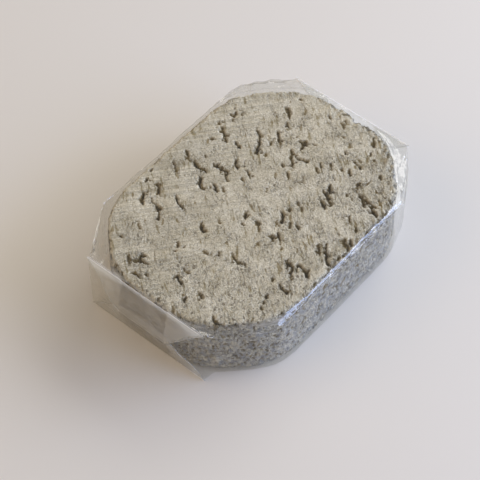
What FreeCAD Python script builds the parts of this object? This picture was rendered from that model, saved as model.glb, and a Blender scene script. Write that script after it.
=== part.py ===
"""A sawn block of porous stone with cut corners, overwrapped in clear film.

The film is one sheet in life: a sleeve round the block, closed along the underside by a lap seam and
folded in at each end like a parcel. The two side tucks go in first, then the bottom flap comes up and
the top flap comes down over it. The sheet is divided at those creases, so that every panel is a piece
of its own and the flaps can turn about their creases.

Frame: millimetres, +Z up, +X along the block, origin on the table under the middle of the pack.
The left end is at -X, the right end at +X, the front at -Y and the back at +Y.
"""

import FreeCAD, Part
import os
import Sketcher

SIZES = {
    # the block
    "block_length": 80.0,
    "block_width": 58.0,
    "block_height": 19.6,
    "corner_cut": 15.2,  # how far the cut runs along each side from the square corner
    "corner_round": 18.0,  # radius of the upright edges
    "rim_round": 1.0,  # radius round the top and bottom faces
    # the film
    "film": 0.1,  # thickness of one layer
    "layer_gap": 0.05,  # air between layers that can part
    "end_gap": 0.2,  # between the block's ends and the film
    "top_gap": 0.25,  # between the block's top and the film
    "side_gap": 0.9,  # between the block's long sides and the film
    "shoulder": 50.0,  # length of the straight long sides, between the drawn-in corners
    "end_width": 40.0,  # width of the flat ends
    "fold_depth": 11.5,  # how far the sleeve ran past the block before it was folded in
    "seam_width": 10.0,  # overlap of the lap seam along the underside
}

doc = FreeCAD.newDocument("wrapped_block")
sheet = doc.addObject("Spreadsheet::Sheet", "sizes")
for row, (alias, value) in enumerate(SIZES.items(), start=1):
    sheet.set(f"A{row}", alias)
    sheet.set(f"B{row}", str(value))
    sheet.setAlias(f"B{row}", alias)
doc.recompute()

# Lengths that follow from the driving ones, as expressions over the sheet.
BLOCK_BOTTOM = "(2 * sizes.film + sizes.layer_gap)"
SLEEVE_HEIGHT = f"({BLOCK_BOTTOM} + sizes.block_height + sizes.top_gap + sizes.film)"
SLEEVE_SIDE = "(sizes.block_width / 2 + sizes.side_gap + sizes.film)"
HALF_END = "(sizes.end_width / 2)"
# The ends are folded in three layers. Each runs from an inner face outwards along X.
TUCK_FACE = "(sizes.block_length / 2 + sizes.end_gap)"
WALL_END = f"({TUCK_FACE} + sizes.film)"
BOTTOM_FLAP_FACE = f"({WALL_END} + sizes.layer_gap)"
BOTTOM_PANEL_END = f"({BOTTOM_FLAP_FACE} + 2 * sizes.film)"
TOP_FLAP_FACE = f"({BOTTOM_PANEL_END} + sizes.layer_gap)"
TOP_PANEL_END = f"({TOP_FLAP_FACE} + 2 * sizes.film)"


def new_body(label):
    body = doc.addObject("PartDesign::Body", label)
    body.Label = label
    return body


def dimension(sketch, kind, line, expression):
    """Ties one coordinate of a line's start to the origin. A dimension is never negative."""
    value = sketch.evalExpression(expression)
    if abs(value) < 1e-6:
        axis = -2 if kind == "DistanceX" else -1
        sketch.addConstraint(Sketcher.Constraint("PointOnObject", line, 1, axis))
        return
    points = (-1, 1, line, 1) if value > 0 else (line, 1, -1, 1)
    index = sketch.addConstraint(Sketcher.Constraint(kind, *points, abs(value)))
    sketch.setExpression(f"Constraints[{index}]", expression if value > 0 else f"-({expression})")


def outline(body, name, role, height, corners):
    """A closed outline on one of the body's planes, moved by height along the plane's normal."""
    sketch = body.newObject("Sketcher::SketchObject", name)
    plane = next(f for f in body.Origin.OriginFeatures if f.Role == role)
    sketch.AttachmentSupport = [(plane, "")]
    sketch.MapMode = "FlatFace"
    sketch.setExpression("AttachmentOffset.Base.z", height)
    points = [FreeCAD.Vector(*map(sketch.evalExpression, corner), 0) for corner in corners]
    for here, there in zip(points, points[1:] + points[:1]):
        sketch.addGeometry(Part.LineSegment(here, there))
    for line, (across, up) in enumerate(corners):
        sketch.addConstraint(Sketcher.Constraint("Coincident", line, 2, (line + 1) % len(corners), 1))
        dimension(sketch, "DistanceX", line, across)
        dimension(sketch, "DistanceY", line, up)
    return sketch


def extrude(body, kind, name, sketch, length, backwards=False):
    """A pad or a pocket from a sketch. Both run along the sketch's normal unless backwards."""
    feature = body.newObject(f"PartDesign::{kind}", name)
    feature.Profile = sketch
    feature.Reversed = backwards if kind == "Pad" else not backwards
    feature.setExpression("Length", length)
    doc.recompute()


def octagon(end, side, half_end, shoulder):
    """Corners of an eight-sided plan, counter-clockwise."""
    quarter = [(end, half_end), (shoulder, side)]
    right = [(x, f"-{y}") for x, y in reversed(quarter)] + quarter
    left = [(f"-{x}", f"-{y}") for x, y in right]
    return right + left


def round_edges(body, name, is_wanted, radius):
    """Rounds every edge of the body so far that is_wanted picks."""
    base = body.Tip
    edges = [f"Edge{n}" for n, edge in enumerate(base.Shape.Edges, start=1) if is_wanted(edge)]
    fillet = body.newObject("PartDesign::Fillet", name)
    fillet.Base = (base, edges)
    fillet.setExpression("Radius", radius)
    doc.recompute()


def is_upright(edge):
    box = edge.BoundBox
    return box.ZLength > max(box.XLength, box.YLength)


def is_level(edge):
    return edge.BoundBox.ZLength < 1e-6


def porous_block():
    """The stone: an oblong sawn flat, with its corners cut off and its edges worn round."""
    body = new_body("porous_block")
    half_length = "(sizes.block_length / 2)"
    half_width = "(sizes.block_width / 2)"
    plan = octagon(
        half_length,
        half_width,
        f"({half_width} - sizes.corner_cut)",
        f"({half_length} - sizes.corner_cut)",
    )
    sketch = outline(body, "block_plan", "XY_Plane", BLOCK_BOTTOM, plan)
    extrude(body, "Pad", "blank", sketch, "sizes.block_height")
    round_edges(body, "corners", is_upright, "sizes.corner_round")
    round_edges(body, "rims", is_level, "sizes.rim_round")


def film_sleeve():
    """The sleeve: top and bottom panels, long sides and drawn-in corners, open at both ends."""
    body = new_body("film_sleeve")
    shoulder = "(sizes.shoulder / 2)"
    walls = octagon(WALL_END, SLEEVE_SIDE, HALF_END, shoulder)
    sketch = outline(body, "walls_plan", "XY_Plane", "0", walls)
    extrude(body, "Pad", "walls", sketch, SLEEVE_HEIGHT)
    inside = octagon(WALL_END, f"({SLEEVE_SIDE} - sizes.film)", f"({HALF_END} - sizes.film)", shoulder)
    sketch = outline(body, "inside_plan", "XY_Plane", "sizes.film", inside)
    extrude(body, "Pocket", "inside", sketch, f"{SLEEVE_HEIGHT} - 2 * sizes.film")
    # the top and bottom panels run out to the flaps that hang from them
    panels = (("bottom", "0", BOTTOM_PANEL_END), ("top", f"{SLEEVE_HEIGHT} - sizes.film", TOP_PANEL_END))
    for name, height, end in panels:
        plan = octagon(end, SLEEVE_SIDE, HALF_END, shoulder)
        sketch = outline(body, f"{name}_panel_plan", "XY_Plane", height, plan)
        extrude(body, "Pad", f"{name}_panel", sketch, "sizes.film")
    half_seam = "(sizes.seam_width / 2)"
    lap = [
        (f"-{WALL_END}", f"-{half_seam}"),
        (WALL_END, f"-{half_seam}"),
        (WALL_END, half_seam),
        (f"-{WALL_END}", half_seam),
    ]
    sketch = outline(body, "lap_seam_plan", "XY_Plane", "sizes.film", lap)
    extrude(body, "Pad", "lap_seam", sketch, "sizes.film")


def end_layer(body, name, end, inner_face, corners):
    """One layer of film across an end. end is +1 for the right end and -1 for the left."""
    face = inner_face if end > 0 else f"-{inner_face}"
    sketch = outline(body, f"{name}_outline", "YZ_Plane", face, corners)
    extrude(body, "Pad", name, sketch, "sizes.film", backwards=end < 0)


def side_tuck(label, end, side):
    """The side wall's run past the block, folded flat against the end."""
    body = new_body(label)
    sign = "-" if side < 0 else ""
    crease = f"{sign}({HALF_END} - sizes.film)"
    free_edge = f"{sign}({HALF_END} - sizes.fold_depth)"
    top = f"{SLEEVE_HEIGHT} - sizes.film"
    corners = [(crease, "sizes.film"), (crease, top), (free_edge, top), (free_edge, "sizes.film")]
    end_layer(body, "tuck", end, TUCK_FACE, corners)


def flap(label, end, inner_face, crease, inward):
    """A top or bottom flap: a trapezoid, with the two webs that folded in under its slanted edges.

    crease is the height of its crease, and inward is the sign of the way it runs from there.
    """
    body = new_body(label)
    root = f"{crease} {inward} sizes.layer_gap"
    tip = f"{crease} {inward} sizes.fold_depth"
    wide = f"({HALF_END} - sizes.layer_gap)"
    narrow = f"({HALF_END} - sizes.fold_depth)"
    trapezoid = [(f"-{wide}", root), (wide, root), (narrow, tip), (f"-{narrow}", tip)]
    end_layer(body, "panel", end, f"({inner_face} + sizes.film)", trapezoid)
    for name, sign in (("front_web", "-"), ("back_web", "")):
        web = [(f"{sign}{wide}", root), (f"{sign}{narrow}", root), (f"{sign}{narrow}", tip)]
        end_layer(body, name, end, inner_face, web)


porous_block()
film_sleeve()
for end_name, end in (("left", -1), ("right", 1)):
    for side_name, side in (("front", -1), ("back", 1)):
        side_tuck(f"{end_name}_{side_name}_tuck", end, side)
    flap(f"{end_name}_bottom_flap", end, BOTTOM_FLAP_FACE, "sizes.film", "+")
    flap(f"{end_name}_top_flap", end, TOP_FLAP_FACE, f"{SLEEVE_HEIGHT} - sizes.film", "-")

doc.recompute()
for item in doc.Objects:
    if "Invalid" in item.State or "Error" in item.State:
        raise RuntimeError(f"{item.Label}: {item.State}")

os.makedirs("parts", exist_ok=True)
for body in doc.findObjects("PartDesign::Body"):
    shape = body.Shape
    if shape.isNull() or not shape.isValid() or len(shape.Solids) != 1:
        raise RuntimeError(f"{body.Label}: not one sound solid")
    shape.exportStep(f"parts/{body.Label}.step")
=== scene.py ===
import math
import random

import bmesh
import bpy
import numpy as np
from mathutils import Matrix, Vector, kdtree, noise


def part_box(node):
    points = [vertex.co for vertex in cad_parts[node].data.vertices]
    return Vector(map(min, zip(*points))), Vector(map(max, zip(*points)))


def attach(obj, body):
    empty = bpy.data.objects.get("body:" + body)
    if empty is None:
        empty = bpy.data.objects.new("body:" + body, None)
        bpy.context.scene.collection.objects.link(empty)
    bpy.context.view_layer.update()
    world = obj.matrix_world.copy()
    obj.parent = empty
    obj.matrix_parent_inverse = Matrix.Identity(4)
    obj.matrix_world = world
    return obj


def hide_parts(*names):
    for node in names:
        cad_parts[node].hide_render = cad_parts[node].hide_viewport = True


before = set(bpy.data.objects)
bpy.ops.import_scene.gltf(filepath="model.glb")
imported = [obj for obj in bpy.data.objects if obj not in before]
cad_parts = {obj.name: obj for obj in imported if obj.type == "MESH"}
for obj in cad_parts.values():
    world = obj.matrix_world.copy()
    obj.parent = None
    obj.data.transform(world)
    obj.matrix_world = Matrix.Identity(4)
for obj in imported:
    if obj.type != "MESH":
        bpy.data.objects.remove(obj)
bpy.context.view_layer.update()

# --------------------------------------------------------------------------------------------------
# The block: natural pumice, a frothy grey-beige volcanic stone. It is sawn flat on its broad faces, has its
# corners cut off, and its rims crumble where the drawn-out gas bubbles reach them.

MM = 0.001
block_low, block_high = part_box("porous_block")
half_length, half_width = block_high.x / MM, block_high.y / MM
top_z, bottom_z = block_high.z / MM, block_low.z / MM
CORNER_CUT = 15.2
CORNER_TANGENT = 7.5  # how far the rounding of an upright edge reaches along each side
RIM = 1.0
GRIT = 0.32  # the size of the smallest crumbs that the mesh shows
# the underside, which nobody sees close up, is made coarser: the share of all faces that stays
UNDERSIDE_KEPT = 0.68

shape = bmesh.new()
quarter = [(half_length, half_width - CORNER_CUT), (half_length - CORNER_CUT, half_width)]
right = [(x, -y) for x, y in reversed(quarter)] + quarter
plan = right + [(-x, -y) for x, y in right]
base = shape.faces.new([shape.verts.new((x * MM, y * MM, block_low.z)) for x, y in plan])
grown = bmesh.ops.extrude_face_region(shape, geom=[base])["geom"]
top_verts = [v for v in grown if isinstance(v, bmesh.types.BMVert)]
bmesh.ops.translate(shape, verts=top_verts, vec=(0, 0, block_high.z - block_low.z))
bmesh.ops.recalc_face_normals(shape, faces=shape.faces)
upright = [e for e in shape.edges if abs(e.verts[0].co.z - e.verts[1].co.z) > MM]
bmesh.ops.bevel(
    shape, geom=upright, offset=CORNER_TANGENT * MM, segments=8, profile=0.5, affect="EDGES", material=-1
)
broad = [f for f in shape.faces if abs(f.normal.z) > 0.99]
rims = list({e for f in broad for e in f.edges})
bmesh.ops.bevel(shape, geom=rims, offset=RIM * MM, segments=3, profile=0.5, affect="EDGES", material=-1)
blank_mesh = bpy.data.meshes.new("block_blank")
shape.to_mesh(blank_mesh)
shape.free()
blank = bpy.data.objects.new("block_blank", blank_mesh)
bpy.context.scene.collection.objects.link(blank)
even = blank.modifiers.new("even", "REMESH")
even.mode = "VOXEL"
even.voxel_size = GRIT * MM
even_mesh = bpy.data.meshes.new_from_object(blank.evaluated_get(bpy.context.evaluated_depsgraph_get()))
bpy.data.objects.remove(blank)
block = bpy.data.objects.new("block", even_mesh)
bpy.context.scene.collection.objects.link(block)
underside = block.vertex_groups.new(name="underside")
underside.add([v.index for v in even_mesh.vertices if v.co.z < block_low.z + 0.1 * MM], 1.0, "ADD")
coarser = block.modifiers.new("coarser", "DECIMATE")
coarser.ratio = UNDERSIDE_KEPT
coarser.vertex_group = "underside"
block_mesh = bpy.data.meshes.new_from_object(block.evaluated_get(bpy.context.evaluated_depsgraph_get()))
block.modifiers.clear()
block.vertex_groups.clear()
block.data = block_mesh

count = len(block_mesh.vertices)
flat = np.zeros(count * 3)
block_mesh.vertices.foreach_get("co", flat)
at = flat.reshape(-1, 3) / MM
flat = np.zeros(count * 3)
block_mesh.vertices.foreach_get("normal", flat)
outward = flat.reshape(-1, 3).copy()


def rough(points, size, octaves=3, stretch=(1, 1, 1)):
    """Fractal noise from about -1 to 1 at points in mm, with lumps of about that size."""
    sx, sy, sz = (size * s for s in stretch)
    return np.array([noise.fractal((x / sx, y / sy, z / sz), 0.6, 2.1, octaves) for x, y, z in points])


# The bubbles were drawn out one way, at a slant to the length.
GRAIN = math.radians(50)
along = np.array([math.cos(GRAIN), math.sin(GRAIN), 0.0])
across = np.array([-math.sin(GRAIN), math.cos(GRAIN), 0.0])
in_grain = np.stack([at @ along, at @ across, at[:, 2]], axis=1)

is_flat = np.abs(outward[:, 2]) > 0.7
to_side = np.maximum.reduce([
    np.abs(at[:, 0]) - half_length,
    np.abs(at[:, 1]) - half_width,
    (np.abs(at[:, 0]) + np.abs(at[:, 1]) - half_length - half_width + CORNER_CUT) / math.sqrt(2),
])
to_broad = np.minimum(top_z - at[:, 2], at[:, 2] - bottom_z)
to_rim = np.hypot(np.minimum(to_side, 0), to_broad)

# how crumbly the stone is, from 0 to 1: worst along the right end and the front
crumbly = np.clip(0.35 + at[:, 0] / 60 - at[:, 1] / 75 + 0.35 * rough(at, 14), 0.1, 1)

# relief: flat where sawn, lumpy on the tumbled sides, chipped along the rims, with fine grooves along the
# grain
fine, coarse = rough(in_grain, 0.8, 4, (2.2, 1, 1.4)), rough(in_grain, 3.2, 4, (1.6, 1, 1))
grooves = np.clip(1 - np.abs(rough(in_grain, 1.4, 3, (2.6, 1, 1.6))) / 0.09, 0, 1)
grooves *= np.clip(rough(at, 5, 2) * 1.5 + crumbly - 0.15, 0, 1)
depth = np.where(is_flat, 0.05 * fine, 0.2 * fine + 0.28 * coarse) + 0.13 * grooves
chips = np.clip(coarse + 0.6 * fine + 0.3 * crumbly, 0, 1.2)
depth += (0.35 + 1.6 * crumbly) * chips * np.exp(-to_rim / (0.6 + 0.9 * crumbly))
depth += np.where(is_flat, 0.3 * np.clip(coarse + 0.6 * crumbly - 0.85, 0, 1), 0)

nearest = kdtree.KDTree(count)
for index, point in enumerate(at):
    nearest.insert(point, index)
nearest.balance()
ragged = rough(in_grain, 0.9, 4, (1.8, 1, 1))
cavity = 0.25 * grooves
# a ring round each bubble's mouth, lightened in the shader as a painted highlight on its rim
rim_highlight = np.zeros(count)


def hollow(centre, length, width, deep, axis):
    """Sinks one drawn-out bubble into the stone: an ellipsoid with a ragged mouth, and a ring round it that
    is lightened as a painted highlight.
    """
    found = np.array([i for _, i, _ in nearest.find_range(centre, 0.8 * length)], int)
    if not len(found):
        return
    away = at[found] - centre
    run = away @ axis
    side = np.sqrt(np.maximum((away**2).sum(1) - run**2, 0))
    reach = np.hypot(run / (length / 2), side / (width / 2)) * (1 + ragged[found])
    sunk = deep * np.clip((1.1 - reach) / 0.3, 0, 1)
    depth[found] = np.maximum(depth[found], depth[found] * 0.3 + sunk)
    cavity[found] = np.maximum(cavity[found], np.clip((1.1 - reach) / 0.4, 0, 1) * min(1, 0.3 + deep / 1.2))
    rim_highlight[found] = np.maximum(rim_highlight[found], np.clip(1 - np.abs(reach - 1.3) / 0.2, 0, 1))


# Where the larger cavities gather in the top: the middle of each group as a share of the half length and of
# the half width, how far it spreads, how many cavities it has, and about how long and wide they are.
GROUPS = (
    (0.6, 0.2, 5.5, 7, 3.9, 1.5),  # the right end, behind its middle
    (0.2, 0.6, 6.0, 6, 3.6, 1.0),  # the middle of the back rim
    (0.0, 0.3, 5.0, 7, 4.0, 1.0),  # the middle, towards the back
    (-0.4, 0.7, 5.0, 7, 3.8, 1.2),  # the left of the back rim
    (-0.8, 0.4, 5.0, 5, 2.6, 1.1),  # the left end
    (-0.1, -0.2, 6.5, 7, 3.6, 1.2),  # the middle, towards the front
    (0.5, -0.6, 6.0, 10, 3.2, 1.2),  # the right of the front rim
    (0.1, -0.9, 5.0, 8, 3.4, 1.4),  # the middle of the front rim
    (-0.4, -0.9, 6.0, 8, 3.8, 1.6),  # the left of the front rim
    (-0.8, -0.6, 5.0, 5, 3.2, 1.4),  # the front left corner
)
LINK = 1.3  # spacing of the bubbles that have run together into one cavity
chance = random.Random(11)


def cavern(centre, length, width, deep, heading):
    """Sinks a curved row of bubbles that have run together."""
    curl = chance.gauss(0, 0.28)
    links = max(2, round(length / LINK))
    step = length / links
    heading -= curl * (links - 1) / 2
    centre = centre - np.array([math.cos(heading), math.sin(heading), 0.0]) * length * 0.4
    for _ in range(links):
        axis = np.array([math.cos(heading), math.sin(heading), 0.0])
        link_width = width * chance.uniform(0.35, 0.8)
        hollow(centre, max(1.5 * step, link_width), link_width, deep * chance.uniform(0.5, 1.0), axis)
        centre = centre + axis * step * 0.85
        heading += curl + chance.gauss(0, 0.2)


for length_share, width_share, spread, how_many, typical_length, typical_width in GROUPS:
    middle = np.array([length_share * half_length, width_share * half_width, top_z])
    for _ in range(how_many):
        strayed = along * chance.gauss(0, spread) + across * chance.gauss(0, spread)
        length = typical_length * chance.uniform(0.6, 1.4)
        width = typical_width * chance.uniform(0.7, 1.4)
        heading = GRAIN + math.radians(chance.gauss(10, 15))
        cavern(middle + strayed, length, width, chance.uniform(0.7, 1.4), heading)

SMALL_CAVITIES = 2600
for _ in range(SMALL_CAVITIES):
    index = chance.randrange(count)
    keep = 0.03 + 0.13 * crumbly[index] if is_flat[index] else 0.75
    if chance.random() > keep:
        continue
    bend = chance.gauss(0, 0.3)
    axis = along * math.cos(bend) + across * math.sin(bend) + np.array([0, 0, chance.gauss(0, 0.15)])
    width = chance.uniform(0.35, 0.75)
    length = width * chance.uniform(1.4, 4.4)
    hollow(at[index], length, width, chance.uniform(0.3, 0.9), axis / np.linalg.norm(axis))

moved = at - outward * depth[:, None]
block_mesh.vertices.foreach_set("co", (moved * MM).ravel())
frothy = 0.35 - at[:, 1] / 50 + 0.5 * np.clip((-at[:, 0] - 18) / 15, 0, 1) + 0.9 * rough(at, 5, 3)
frothy = np.where(is_flat, np.clip(frothy, 0.1, 1), 1.0)
sawn_clean = is_flat * np.clip(to_rim - 0.5, 0, 1) * np.clip(0.3 + at[:, 1] / 20 - at[:, 0] / 70, 0.1, 1)
tumbled = np.clip(1.6 - 2 * np.abs(outward[:, 2]), 0, 1)
for name, values in (
    ("cavity", cavity),
    ("rim_highlight", rim_highlight * (cavity < 0.3)),
    ("sawn", sawn_clean),
    ("frothy", frothy),
    ("tumbled", tumbled),
):
    shade = block_mesh.attributes.new(name, "FLOAT", "POINT")
    shade.data.foreach_set("value", values.astype(np.float32))
block_mesh.update()
for face in block_mesh.polygons:
    face.use_smooth = True


def linear(code):
    """A colour written as sRGB hex, as the linear colour that a shader takes."""
    channels = (int(code[i:i + 2], 16) / 255 for i in (1, 3, 5))
    return (*(c / 12.92 if c <= 0.04045 else ((c + 0.055) / 1.055) ** 2.4 for c in channels), 1.0)


def add(tree, kind, inputs=None, **settings):
    """Adds a node with its settings. inputs gives each socket a value, or an output to take it from."""
    made = tree.nodes.new("ShaderNode" + kind)
    for name, value in settings.items():
        setattr(made, name, value)
    for key, value in (inputs or {}).items():
        if isinstance(value, bpy.types.NodeSocket):
            tree.links.new(value, made.inputs[key])
        else:
            made.inputs[key].default_value = value
    return made


# Pumice, sawn and tumbled: a dull glassy froth, so it has no gloss. Its pores show as dark brown specks and
# worm-like grooves, drawn out along the grain; their darkness is partly their own brown and mostly painted
# shade, and their lips get a painted highlight. The saw has left fine scratches across it.
pumice = bpy.data.materials.new("pumice_sawn_and_tumbled")
pumice.use_nodes = True
stone = pumice.node_tree
stone.nodes.clear()
in_place = add(stone, "TexCoord").outputs["Object"]
turn = (0, 0, -GRAIN)
in_mm = add(stone, "Mapping", {"Vector": in_place, "Rotation": turn, "Scale": (1000, 1000, 1000)}).outputs[0]
warp = add(
    stone, "TexNoise", {"Vector": in_mm, "Scale": 1 / 0.9, "Detail": 3, "Roughness": 0.7}
).outputs["Color"]
bend = (1.0, 1.0, 1.0)
bent = add(stone, "VectorMath", {0: warp, 1: bend, 2: in_mm}, operation="MULTIPLY_ADD").outputs[0]

sawn = add(stone, "Attribute", attribute_name="sawn").outputs["Fac"]


def worms(size, stretched, thin, cover):
    """A mask of thin curling grooves, size mm apart, that comes and goes. cover is from 0 to 1."""
    drawn = add(stone, "Mapping", {"Vector": bent, "Scale": stretched}).outputs[0]
    froth = add(
        stone, "TexNoise", {"Vector": drawn, "Scale": 1 / size, "Detail": 2, "Roughness": 0.5}
    ).outputs["Fac"]
    off = add(stone, "Math", {0: froth, 1: 0.5}, operation="SUBTRACT").outputs[0]
    from_line = add(stone, "Math", {0: off}, operation="ABSOLUTE").outputs[0]
    line = add(stone, "MapRange", {0: from_line, 1: 0.0, 2: thin, 3: 1.0, 4: 0.0})
    patchy = {"Vector": in_mm, "Scale": 1 / (2.2 * size), "Detail": 3, "Roughness": 0.7}
    there = add(stone, "TexNoise", patchy).outputs["Fac"]
    kept = add(stone, "MapRange", {0: there, 1: 0.62 - 0.3 * cover, 2: 0.7 - 0.3 * cover, 3: 0.0, 4: 1.0})
    return add(stone, "Math", {0: line.outputs[0], 1: kept.outputs[0]}, operation="MULTIPLY").outputs[0]


def pores(path, stretched, pitch, radius, share):
    """A mask of pores: one to a cell of that pitch in mm, in that share of the cells, radius in cells."""
    drawn = add(stone, "Mapping", {"Vector": path, "Scale": stretched}).outputs[0]
    cells = add(stone, "TexVoronoi", {"Vector": drawn, "Scale": 1 / pitch, "Randomness": 1.0})
    draw = add(stone, "SeparateColor", {"Color": cells.outputs["Color"]})
    size = add(stone, "MapRange", {0: draw.outputs[0], 1: 1 - share, 2: 1.0, 3: 0.0, 4: radius}).outputs[0]
    inside = add(stone, "Math", {0: size, 1: cells.outputs["Distance"]}, operation="SUBTRACT").outputs[0]
    return add(stone, "MapRange", {0: inside, 1: 0.0, 2: 0.1, 3: 0.0, 4: 1.0}).outputs[0]


froth_cells = add(stone, "Mapping", {"Vector": bent, "Scale": (0.55, 1, 0.8)}).outputs[0]
to_wall = add(
    stone,
    "TexVoronoi",
    {"Vector": froth_cells, "Scale": 1 / 0.9, "Randomness": 1.0},
    feature="DISTANCE_TO_EDGE",
).outputs["Distance"]
wall = add(stone, "MapRange", {0: to_wall, 1: 0.02, 2: 0.12, 3: 1.0, 4: 0.0}).outputs[0]
is_open = add(stone, "Attribute", attribute_name="frothy").outputs["Fac"]
walls = add(stone, "Math", {0: wall, 1: is_open}, operation="MULTIPLY").outputs[0]
curls = worms(0.8, (0.55, 1, 0.8), 0.04, 0.55)
cracks = worms(2.4, (0.3, 1, 0.6), 0.03, 0.45)
pinholes = pores(bent, (0.6, 1, 0.8), 0.75, 0.5, 0.5)
flow = add(
    stone, "TexNoise", {"Vector": in_mm, "Scale": 1 / 4.5, "Detail": 4, "Roughness": 0.6}
).outputs["Color"]
sway = (3.5, 3.5, 3.5)
swirled = add(stone, "VectorMath", {0: flow, 1: sway, 2: in_mm}, operation="MULTIPLY_ADD").outputs[0]
slots = pores(swirled, (0.3, 1, 0.5), 1.5, 0.42, 0.3)
# pale flecks: partly pale grains of the stone, partly small painted highlights
flecks = pores(bent, (0.7, 1, 0.8), 0.8, 0.4, 0.3)
open_froth = add(stone, "Math", {0: pinholes, 1: curls}, operation="MAXIMUM").outputs[0]
open_froth = add(stone, "Math", {0: open_froth, 1: is_open}, operation="MULTIPLY").outputs[0]
open_froth = add(
    stone, "Math", {0: cracks, 1: 0.6, 2: open_froth}, operation="MULTIPLY_ADD", use_clamp=True
).outputs[0]

scratched = add(stone, "Mapping", {"Vector": in_mm, "Scale": (1 / 0.85, 1 / 45, 1)}).outputs[0]
scratches = add(
    stone, "TexNoise", {"Vector": scratched, "Scale": 1.0, "Detail": 2, "Roughness": 0.6}
).outputs["Fac"]
scratch = add(stone, "MapRange", {0: scratches, 1: 0.44, 2: 0.56, 3: 0.0, 4: 1.0}).outputs[0]
saw_lines = add(stone, "Math", {0: scratch, 1: sawn}, operation="MULTIPLY").outputs[0]

PALE, ASHY, SPECK = linear("#f6f1e2"), linear("#dfd8c5"), linear("#8c7d54")
# the dark brown is mostly painted shade deep in the cavities and pores; the blue-grey is painted cool shade
# on the sides
OLIVE, TAN, SHADE_BROWN, SIDE_SHADE = linear("#857338"), linear("#8a7640"), linear("#4a3a10"), linear("#848b99")
blotches = add(
    stone, "TexNoise", {"Vector": in_mm, "Scale": 1 / 6, "Detail": 5, "Roughness": 0.62}
).outputs["Fac"]
blotch = add(stone, "MapRange", {0: blotches, 1: 0.35, 2: 0.65, 3: 0.0, 4: 1.0}).outputs[0]
tone = add(stone, "Mix", {0: blotch, 6: ASHY, 7: PALE}, data_type="RGBA").outputs[2]
streaky = add(stone, "Mapping", {"Vector": bent, "Scale": (0.22, 1, 0.5)}).outputs[0]
streaks = add(
    stone, "TexNoise", {"Vector": streaky, "Scale": 1 / 1.3, "Detail": 4, "Roughness": 0.65}
).outputs["Fac"]
in_streaks = add(stone, "MapRange", {0: streaks, 1: 0.57, 2: 0.68, 3: 0.0, 4: 0.8}).outputs[0]
tone = add(stone, "Mix", {0: in_streaks, 6: tone, 7: OLIVE}, data_type="RGBA").outputs[2]
grit = add(
    stone, "TexNoise", {"Vector": bent, "Scale": 1 / 0.36, "Detail": 2, "Roughness": 0.7}
).outputs["Fac"]
gritty = add(stone, "MapRange", {0: grit, 1: 0.22, 2: 0.6, 3: 0.15, 4: 1.0}).outputs[0]
tone = add(stone, "Mix", {0: gritty, 6: SPECK, 7: tone}, data_type="RGBA").outputs[2]
saw_shade = add(stone, "MapRange", {0: saw_lines, 1: 0.0, 2: 1.0, 3: 1.05, 4: 0.86}).outputs[0]
# painted highlight: the rims round the bubbles are lightened
rim_highlights = add(stone, "Attribute", attribute_name="rim_highlight").outputs["Fac"]
shading = add(stone, "Math", {0: rim_highlights, 1: 0.22, 2: saw_shade}, operation="MULTIPLY_ADD").outputs[0]
shading = add(stone, "Math", {0: walls, 1: 0.25, 2: shading}, operation="MULTIPLY_ADD").outputs[0]
# painted highlights: the pale flecks lighten the stone
shading = add(stone, "Math", {0: flecks, 1: 0.16, 2: shading}, operation="MULTIPLY_ADD").outputs[0]
between = add(stone, "Math", {0: is_open, 1: -0.1, 2: 1.0}, operation="MULTIPLY_ADD").outputs[0]
shading = add(stone, "Math", {0: shading, 1: between}, operation="MULTIPLY").outputs[0]
shaded = add(stone, "Mix", {0: 1.0, 6: tone, 7: shading}, data_type="RGBA", blend_type="MULTIPLY").outputs[2]
# the sides are painted blue-grey in mottled patches: painted shade, with a cool cast from the sky light
is_tumbled = add(stone, "Attribute", attribute_name="tumbled").outputs["Fac"]
mottling = add(
    stone, "TexNoise", {"Vector": bent, "Scale": 1 / 1.5, "Detail": 4, "Roughness": 0.6}
).outputs["Fac"]
mottle = add(stone, "MapRange", {0: mottling, 1: 0.4, 2: 0.62, 3: 0.15, 4: 0.75}).outputs[0]
side_shade = add(stone, "Math", {0: mottle, 1: is_tumbled}, operation="MULTIPLY").outputs[0]
shaded = add(stone, "Mix", {0: side_shade, 6: shaded, 7: SIDE_SHADE}, data_type="RGBA").outputs[2]
# a bubble's mouth is tan; its depth, and the pores, curls and cracks, are painted dark brown, partly their
# own colour and mostly painted shade in the holes
holes = add(stone, "Attribute", attribute_name="cavity").outputs["Fac"]
mouth = add(stone, "MapRange", {0: holes, 1: 0.0, 2: 0.6, 3: 0.0, 4: 0.9}).outputs[0]
mouth = add(stone, "Math", {0: slots, 1: 0.7, 2: mouth}, operation="MULTIPLY_ADD", use_clamp=True).outputs[0]
deep = add(stone, "MapRange", {0: holes, 1: 0.5, 2: 1.0, 3: 0.0, 4: 0.9}).outputs[0]
pore_shade = add(stone, "Math", {0: open_froth, 1: 0.62}, operation="MULTIPLY").outputs[0]
deep = add(stone, "Math", {0: deep, 1: pore_shade}, operation="MAXIMUM").outputs[0]
hollowed = add(stone, "Mix", {0: mouth, 6: shaded, 7: TAN}, data_type="RGBA").outputs[2]
colour = add(stone, "Mix", {0: deep, 6: hollowed, 7: SHADE_BROWN}, data_type="RGBA").outputs[2]

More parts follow.
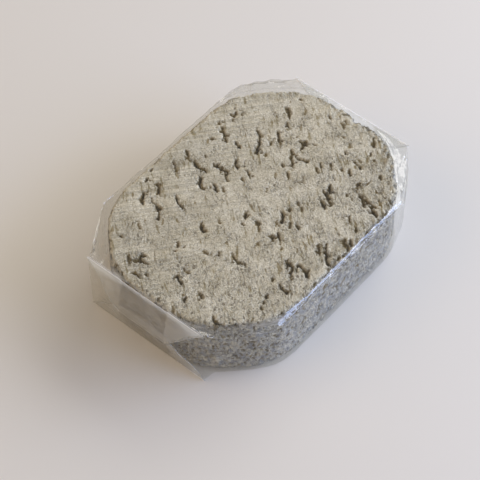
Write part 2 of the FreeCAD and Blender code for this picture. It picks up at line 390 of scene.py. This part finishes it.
height = add(stone, "Math", {0: saw_lines, 1: -0.5, 2: grit}, operation="MULTIPLY_ADD").outputs[0]
height = add(stone, "Math", {0: open_froth, 1: -1.1, 2: height}, operation="MULTIPLY_ADD").outputs[0]
height = add(stone, "Math", {0: walls, 1: 0.5, 2: height}, operation="MULTIPLY_ADD").outputs[0]
height = add(stone, "Math", {0: slots, 1: -0.6, 2: height}, operation="MULTIPLY_ADD").outputs[0]
height = add(stone, "Math", {0: flecks, 1: 0.4, 2: height}, operation="MULTIPLY_ADD").outputs[0]
relief = add(stone, "Bump", {"Height": height, "Strength": 1.0, "Distance": 0.3 * MM}).outputs[0]
surface = add(
    stone,
    "BsdfPrincipled",
    {"Base Color": colour, "Roughness": 0.95, "Specular IOR Level": 0.2, "Normal": relief},
)
add(stone, "OutputMaterial", {"Surface": surface.outputs[0]})
block_mesh.materials.clear()
block_mesh.materials.append(pumice)
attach(block, "pack")
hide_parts("porous_block")

# --------------------------------------------------------------------------------------------------
# The film sleeve: clear polypropylene overwrap, a sheet pulled round the block and welded along the
# underside in a lap seam. It is taut over the broad faces, and stands off the block's cut corners, where it
# is drawn in with small pleats.

sleeve_low, sleeve_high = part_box("film_sleeve")
MOUTH = 40.4  # where the sleeve's walls stop and its ends fold in
FILM_TOP, FILM_BOTTOM = sleeve_high.z / MM - 0.08, 0.06
FILM_LAYER = 0.09
SEAM_WIDTH = 10.0
GIRTH_CELLS, LENGTH_CELLS = 330, 180  # faces round the sleeve and along it
HALF_SHOULDER = 25.0  # half the length of the straight long sides, between the drawn-in corners
HALF_END = 19.2  # half the width of the folded ends
LEFT_SHIFT, RIGHT_SHIFT = 1.8, -0.5  # how far each end was pushed towards the back as it was folded
# each end: its side, and where the creases at its front and its back stand
LEFT_END = (-1, LEFT_SHIFT - HALF_END, LEFT_SHIFT + HALF_END)
RIGHT_END = (1, RIGHT_SHIFT - HALF_END, RIGHT_SHIFT + HALF_END)
# where each stretch of the girth ends: underside, front, top, back, underside
GIRTH_STOPS = (0.0, 0.19, 0.31, 0.69, 0.81, 1.0)
SOFT_EDGE = 0.006  # how much of the girth each crease is rounded over
GIRTH = 160.0  # mm round the sleeve

wrap = bmesh.new()
bmesh.ops.create_grid(wrap, x_segments=GIRTH_CELLS, y_segments=LENGTH_CELLS, size=0.5)
grid = np.array([v.co for v in wrap.verts])
girth, lengthwise = grid[:, 0] + 0.5, grid[:, 1] * 2 * MOUTH


def long_side(outermost, left_crease, right_crease, left_bow, right_bow):
    """Where one long side of the sleeve stands, all along it. The bows are how far its corners swell out."""
    stops = (-MOUTH, -HALF_SHOULDER, HALF_SHOULDER, MOUTH)
    line = np.interp(lengthwise, stops, (left_crease, outermost, outermost, right_crease))
    into_corner = np.clip((np.abs(lengthwise) - HALF_SHOULDER) / (MOUTH - HALF_SHOULDER), 0, 1)
    bow = np.where(lengthwise < 0, left_bow, right_bow)
    return line + math.copysign(1, outermost) * bow * np.sin(math.pi * into_corner)


front = long_side(sleeve_low.y / MM, LEFT_END[1], RIGHT_END[1], 1.4, 0.5)
rear = long_side(sleeve_high.y / MM, LEFT_END[2], RIGHT_END[2], 0.0, 3.4)
seam = SEAM_WIDTH / 2
film_y, film_z = np.zeros(len(grid)), np.zeros(len(grid))
for offset in (-2, -1, 0, 1, 2):
    part = np.clip(girth + offset * SOFT_EDGE / 2, 0, 1)
    stops = np.searchsorted(GIRTH_STOPS, part, side="right").clip(1, 5)
    begins, ends = np.take(GIRTH_STOPS, stops - 1), np.take(GIRTH_STOPS, stops)
    share = (part - begins) / (ends - begins)
    corner_y = np.stack([np.full_like(front, seam), front, front, rear, rear, np.full_like(front, -seam)])
    lapped = FILM_BOTTOM + FILM_LAYER
    corner_z = (FILM_BOTTOM, FILM_BOTTOM, FILM_TOP, FILM_TOP, lapped, lapped)
    row = np.arange(len(grid))
    film_y += (corner_y[stops - 1, row] * (1 - share) + corner_y[stops, row] * share) / 5
    film_z += (np.take(corner_z, stops - 1) * (1 - share) + np.take(corner_z, stops) * share) / 5
film_at = np.stack([lengthwise, film_y, film_z], axis=1)


UPRIGHT_TURN = 0.47  # how sharply the block's rounded upright edges turn, per mm


def off_block(points):
    """How far points in mm stand off the block's sides, in plan."""
    x, y = np.abs(points[:, 0]), np.abs(points[:, 1])
    cut = (x + y - half_length - half_width + CORNER_CUT) / math.sqrt(2)
    sides = np.stack([x - half_length, y - half_width, cut])
    return np.log(np.exp(sides * UPRIGHT_TURN).sum(axis=0)) / UPRIGHT_TURN


def place(mesh, points):
    """Moves a bmesh's vertices to points in mm."""
    for vert, point in zip(mesh.verts, points):
        vert.co = point * MM


def normals(mesh):
    """The outward direction at each vertex of a bmesh."""
    mesh.normal_update()
    return np.array([v.normal for v in mesh.verts])


def pleats(points, apex, folds, reach):
    """Ridges from 0 to 1 that fan out from an apex, fading out at reach mm from it."""
    away = points - np.array(apex)
    distance = np.linalg.norm(away, axis=1)
    turn_at = np.arctan2(away[:, 1], away[:, 0]) + 0.05 * rough(points, 6, 2)
    ridge = 1 - np.abs(np.sin(turn_at * folds))
    return ridge**2 * np.clip(distance / 3, 0, 1) * np.clip((reach - distance) / 6, 0, 1)


place(wrap, film_at)
loose = np.clip(off_block(film_at) / 5, 0, 1)
on_top = film_z > FILM_TOP - 0.4
on_wall = (film_z > 0.5) & ~on_top
drape = rough(film_at, 7, 3, (1.4, 1, 2.5))
creases = 1 - np.abs(rough(film_at, 5, 2, (1, 1, 3)))
swell = np.where(on_top, loose * (0.45 * drape + 0.25 * creases**4), 0.0)
billow = (0.25 + 0.9 * loose) * (0.7 * drape + 0.35 * creases**4) * np.sin(math.pi * film_z / FILM_TOP)
swell += np.where(on_wall, billow, 0.0)
fanned = np.zeros(len(grid))
for side, crease_y, folds, reach in (
    (-1, LEFT_END[2], 13, 19),
    (-1, LEFT_END[1], 9, 15),
    (1, RIGHT_END[2], 11, 19),
    (1, RIGHT_END[1], 9, 15),
):
    apex = (side * MOUTH, crease_y, FILM_TOP)
    fanned += np.where(on_top | on_wall, loose * pleats(film_at, apex, folds, reach), 0.0)
swell += 0.8 * fanned
away_from_mouth = MOUTH - np.abs(film_at[:, 0])
free = np.clip(away_from_mouth / 2, 0, 1)
film_at = film_at + normals(wrap) * (swell * free)[:, None]
SAG = 0.9  # how far the top sinks between the block's rim and the drawn-in corners
off_rim = np.clip(off_block(film_at) / 5.4, 0, 1)
film_at[:, 2] -= np.where(on_top, SAG * np.sin(math.pi * off_rim) * free, 0)
# the foot of the walls is drawn in under the block
TUCKED_UNDER, FOOT = 0.6, 9.0
towards_cut = np.clip((np.abs(lengthwise) - 22) / 8, 0, 1) * np.sign(lengthwise)
inward = -np.stack([towards_cut, np.sign(film_at[:, 1])], axis=1)
inward /= np.linalg.norm(inward, axis=1)[:, None]
pulled = np.clip(off_block(film_at) - TUCKED_UNDER, 0, 3.5) * np.clip(1 - film_z / FOOT, 0, 1) * free
film_at[:, :2] += inward * pulled[:, None]
# the long creases are dented where the block's rim has crumbled
to_crease = np.minimum(np.abs(girth - GIRTH_STOPS[2]), np.abs(girth - GIRTH_STOPS[3])) * GIRTH
dent = np.clip(1.5 * rough(film_at, 8, 2) + 0.3, 0, 1) * np.exp(-((to_crease / 1.6) ** 2))
film_at[:, 2] -= 0.8 * dent * free
place(wrap, film_at)
stand_off = off_block(film_at)
wall_crumple = np.clip(0.4 + lengthwise / 40, 0.25, 1.5)
crumple = np.where(on_top, 1.0, np.where(on_wall, wall_crumple, 0.0)) * np.clip(stand_off / 2, 0, 1)
rim_line = np.exp(-(((stand_off - 0.9) / 0.45) ** 2)) * on_top * np.clip(0.3 + rough(film_at, 7, 2), 0, 1)
at_mouth = np.where(on_top, 0.4 * np.exp(-((away_from_mouth / 0.5) ** 2)), 0)
creased_edge = np.exp(-((to_crease / 0.5) ** 2)) * (0.15 + 0.85 * loose) * np.clip(
    0.6 + rough(film_at, 4, 2), 0, 1
)
fold_line = np.clip(np.maximum.reduce([creased_edge, at_mouth, rim_line]) + 0.8 * fanned**3, 0, 1)


def piece_of(mesh, crumple, fold_line, name, material, body, node):
    """Makes a bmesh a smooth piece of film that rides on a body and stands for a CAD node."""
    data = bpy.data.meshes.new(name)
    mesh.to_mesh(data)
    mesh.free()
    for mask, values in (("crumple", crumple), ("fold_line", fold_line)):
        shade = data.attributes.new(mask, "FLOAT", "POINT")
        shade.data.foreach_set("value", np.asarray(values, np.float32))
    for polygon in data.polygons:
        polygon.use_smooth = True
    data.materials.append(material)
    piece = bpy.data.objects.new(name, data)
    bpy.context.scene.collection.objects.link(piece)
    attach(piece, body)
    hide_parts(node)
    return piece


def overwrap(name, taut_haze, crumpled_haze, gloss):
    """Clear film: it lets light straight through and mirrors the room, more at a slant.

    The hazes are its milky share where it is taut and where it is crumpled.
    """
    made = bpy.data.materials.new(name)
    made.use_nodes = True
    tree = made.node_tree
    tree.nodes.clear()
    spot = add(tree, "TexCoord").outputs["Object"]
    crumpled = add(tree, "Attribute", attribute_name="crumple").outputs["Fac"]
    ripples = {"Vector": spot, "Scale": 1000 / 3.5, "Detail": 3, "Roughness": 0.5}
    ripple = add(tree, "TexNoise", ripples).outputs["Fac"]
    wander = add(tree, "TexNoise", {"Vector": spot, "Scale": 1000 / 6, "Detail": 2}).outputs["Color"]
    shift = (0.006, 0.006, 0.006)
    bent = add(tree, "VectorMath", {0: wander, 1: shift, 2: spot}, operation="MULTIPLY_ADD").outputs[0]
    cells = add(tree, "TexVoronoi", {"Vector": bent, "Scale": 1000 / 5}, feature="DISTANCE_TO_EDGE")
    facets = cells.outputs["Distance"]
    slack = add(tree, "MapRange", {0: crumpled, 3: 0.3, 4: 1.0}).outputs[0]
    ripple = add(tree, "Math", {0: ripple, 1: slack}, operation="MULTIPLY").outputs[0]
    dents = add(tree, "Math", {0: facets, 1: crumpled}, operation="MULTIPLY").outputs[0]
    uneven = add(tree, "Math", {0: dents, 1: 1.6, 2: ripple}, operation="MULTIPLY_ADD").outputs[0]
    rippled = add(tree, "Bump", {"Height": uneven, "Strength": 1.0, "Distance": 0.35 * MM}).outputs[0]
    haze = add(tree, "MapRange", {0: crumpled, 3: taut_haze, 4: crumpled_haze}).outputs[0]
    folded = add(tree, "Attribute", attribute_name="fold_line").outputs["Fac"]
    haze = add(
        tree, "Math", {0: folded, 1: 0.5, 2: haze}, operation="MULTIPLY_ADD", use_clamp=True
    ).outputs[0]
    slant = add(tree, "LayerWeight", {"Blend": 0.5, "Normal": rippled}).outputs["Facing"]
    steep = add(tree, "Math", {0: slant, 1: 4.5}, operation="POWER").outputs[0]
    mirrored = add(
        tree, "Math", {0: steep, 1: 0.45, 2: gloss}, operation="MULTIPLY_ADD", use_clamp=True
    ).outputs[0]
    through = add(tree, "BsdfTransparent", {"Color": linear("#fbfbf9")}).outputs[0]
    front_glow = add(tree, "BsdfDiffuse", {"Color": linear("#f2f1ee")}).outputs[0]
    back_glow = add(tree, "BsdfTranslucent", {"Color": linear("#f2f1ee")}).outputs[0]
    milky = add(tree, "MixShader", {0: 0.72, 1: front_glow, 2: back_glow}).outputs[0]
    body = add(tree, "MixShader", {0: haze, 1: through, 2: milky}).outputs[0]
    shine = add(
        tree, "BsdfAnisotropic", {"Color": linear("#ffffff"), "Roughness": 0.1, "Normal": rippled}
    ).outputs[0]
    surface = add(tree, "MixShader", {0: mirrored, 1: body, 2: shine}).outputs[0]
    add(tree, "OutputMaterial", {"Surface": surface})
    return made


# Clear polypropylene drawn taut: hardly milky, with a mirror gloss that grows towards a slant.
film = overwrap("polypropylene_film", 0.03, 0.16, 0.07)
sleeve = piece_of(wrap, crumple, fold_line, "film_wrap", film, "pack", "film_sleeve")

# --------------------------------------------------------------------------------------------------
# The folded ends: the sleeve runs on past the block and is folded in like a parcel. Its side walls are
# tucked in flat first, then the bottom flap comes up and the top flap comes down over it, each with a web
# folded in at either side.

FOLD_DEPTH = 11.5
BULGE = 1.6  # how far the folded film stands out at half height
# The same film folded over itself: each layer and crease scatters light, so it looks milkier and shinier.
creased = overwrap("polypropylene_film_creased", 0.34, 0.5, 0.10)


def stand_out(points, side, low_y, high_y):
    """Bulges a folded end outwards, but not at its corners, and crinkles it."""
    run_in = np.minimum(points[:, 1] - low_y, high_y - points[:, 1]).clip(0, 7) / 7
    rise = np.sin(math.pi * np.clip(points[:, 2] / FILM_TOP, 0, 1)) ** 2
    crinkle = 0.25 * rough(points, 5, 3, (1, 1.5, 1)) + 0.2
    points[:, 0] += side * rise * run_in * (BULGE + crinkle)
    return points


def fold(mesh, corners, faces, cuts):
    """Makes faces between corners in mm and divides each edge."""
    made = [mesh.verts.new([c * MM for c in corner]) for corner in corners]
    for face in faces:
        mesh.faces.new([made[i] for i in face])
    bmesh.ops.subdivide_edges(mesh, edges=mesh.edges[:], cuts=cuts, use_grid_fill=True)


FOLD_RADIUS = 0.12  # the film turns back on itself round a fold in a roll this thick


def roll(mesh, begin, end, stand):
    """Adds the thin roll of a fold from one corner to another, standing out with the film."""
    share = np.linspace(0, 1, 25)[:, None]
    route = stand_out(np.array(begin) * (1 - share) + np.array(end) * share, *stand)
    line = bpy.data.curves.new("fold", "CURVE")
    line.dimensions = "3D"
    line.bevel_depth = FOLD_RADIUS * MM
    line.bevel_resolution = 2
    spline = line.splines.new("POLY")
    spline.points.add(len(route) - 1)
    for point, spot in zip(spline.points, route * MM):
        point.co = (*spot, 1)
    rolled = bpy.data.objects.new("fold", line)
    mesh.from_mesh(bpy.data.meshes.new_from_object(rolled))
    bpy.data.objects.remove(rolled)


def end_piece(name, material, body, node, end, corners, faces, cuts, rolls):
    """One panel of a folded end: flat faces between corners, made to stand out, with rolls at its folds."""
    side, low_y, high_y = end
    mesh = bmesh.new()
    fold(mesh, corners, faces, cuts)
    points = np.array([v.co for v in mesh.verts]) / MM
    place(mesh, stand_out(points, *end))
    for first, last in rolls:
        roll(mesh, corners[first], corners[last], end)
    points = np.array([v.co for v in mesh.verts]) / MM
    is_edge = np.array([v.is_boundary for v in mesh.verts]) & (np.abs(points[:, 0]) > MOUTH - 0.3)
    rounding = np.abs(points[:, 1] - (low_y + high_y) / 2) < (high_y - low_y) / 2 - 0.3
    crumple = np.full(len(points), 0.45 if side < 0 else 1.0)
    return piece_of(mesh, crumple, is_edge & rounding, name, material, body, node)


for end_name, end in (("left", LEFT_END), ("right", RIGHT_END)):
    side, low_y, high_y = end
    # tucks, the innermost layer
    tuck_low, tuck_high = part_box(f"{end_name}_front_tuck")
    face_x = (tuck_high.x if side > 0 else tuck_low.x) / MM
    for side_name, crease_y, free_y in (
        ("front", low_y, low_y + FOLD_DEPTH),
        ("back", high_y, high_y - FOLD_DEPTH),
    ):
        corners = [
            (side * MOUTH, crease_y, FILM_BOTTOM),
            (face_x, free_y, FILM_BOTTOM),
            (face_x, free_y, FILM_TOP - 0.05),
            (side * MOUTH, crease_y, FILM_TOP - 0.05),
        ]
        node = f"{end_name}_{side_name}_tuck"
        tuck = end_piece(f"{node}_film", film, "pack", node, end, corners, [(0, 1, 2, 3)], 28, [])
    # flaps: the panel outside, its webs folded in under the slanted edges
    for flap_name, crease_z, inward, layer in (
        ("bottom", FILM_BOTTOM + 0.1, 1, 0.10),
        ("top", FILM_TOP, -1, 0.35),
    ):
        outer_x, inner_x = side * (MOUTH + layer), side * (MOUTH + layer - 0.1)
        tip_z = crease_z + inward * FOLD_DEPTH
        corners = [
            (outer_x, low_y, crease_z),
            (outer_x, high_y, crease_z),
            (outer_x, high_y - FOLD_DEPTH, tip_z),
            (outer_x, low_y + FOLD_DEPTH, tip_z),
            (inner_x, low_y + FOLD_DEPTH, crease_z),
            (inner_x, high_y - FOLD_DEPTH, crease_z),
        ]
        node = f"{end_name}_{flap_name}_flap"
        faces = [(0, 1, 2, 3), (0, 3, 4), (1, 2, 5)]
        rolls = [(0, 3), (1, 2)]
        body = f"{end_name}_{flap_name}"
        flap = end_piece(f"{node}_film", creased, body, node, end, corners, faces, 30, rolls)

# --------------------------------------------------------------------------------------------------
# The table and its light: a painted, pale table top, a wide window at the right end, blue sky light from the
# front right, and a warm lamp in the room behind the left end. The mirror image of the sky is kept weak.

table = bmesh.new()
bmesh.ops.create_grid(table, x_segments=1, y_segments=1, size=1.5)
table_mesh = bpy.data.meshes.new("table_top")
table.to_mesh(table_mesh)
table.free()
table_top = bpy.data.objects.new("table_top", table_mesh)
bpy.context.scene.collection.objects.link(table_top)
painted = bpy.data.materials.new("painted_table_top")
painted.use_nodes = True
paint = painted.node_tree.nodes["Principled BSDF"]
paint.inputs["Base Color"].default_value = linear("#e0ddd8")
paint.inputs["Roughness"].default_value = 0.6
table_mesh.materials.append(painted)

world = bpy.data.worlds.new("room")
world.use_nodes = True
world.node_tree.nodes["Background"].inputs["Color"].default_value = linear("#f1eee8")
world.node_tree.nodes["Background"].inputs["Strength"].default_value = 0.37
bpy.context.scene.world = world


def soft_light(name, towards, distance, width, height, colour, watts, mirrored=1.0):
    """A soft light that shines on the middle of the pack from that direction."""
    data = bpy.data.lights.new(name, "AREA")
    data.shape = "RECTANGLE"
    data.size, data.size_y = width, height
    data.color = linear(colour)[:3]
    data.energy = watts
    data.specular_factor = mirrored
    light = bpy.data.objects.new(name, data)
    direction = Vector(towards).normalized()
    light.location = direction * distance
    light.rotation_mode = "QUATERNION"
    light.rotation_quaternion = direction.to_track_quat("Z", "Y")
    bpy.context.scene.collection.objects.link(light)


soft_light("window", (0.92, -0.2, 0.56), 1.15, 1.6, 0.6, "#fdfaf4", 10.3)
soft_light("sky", (0.55, -0.83, 0.42), 0.6, 0.6, 0.3, "#bcd0ff", 3.2, mirrored=0.4)
soft_light("room_lamp", (-0.8, 0.7, 0.7), 1.0, 1.0, 0.8, "#ffd6a4", 3.0)

# the camera looks down on the front and the left end through a long lens
AZIMUTH, ELEVATION = math.radians(-50.4), math.radians(52.05)
level = math.cos(ELEVATION)
back = Vector((math.sin(AZIMUTH) * level, -math.cos(AZIMUTH) * level, math.sin(ELEVATION)))
lens = bpy.data.cameras.new("camera")
lens.sensor_width = 36.0
lens.lens = 137.0
lens.shift_x, lens.shift_y = -0.0288, -0.0315
lens.clip_start = 0.01
camera = bpy.data.objects.new("camera", lens)
camera.location = Vector((0, 0, 0.0101)) + back * 0.48
camera.rotation_mode = "QUATERNION"
camera.rotation_quaternion = (-back).to_track_quat("-Z", "Y")
bpy.context.scene.collection.objects.link(camera)
bpy.context.scene.camera = camera
bpy.context.scene.view_settings.view_transform = "Standard"
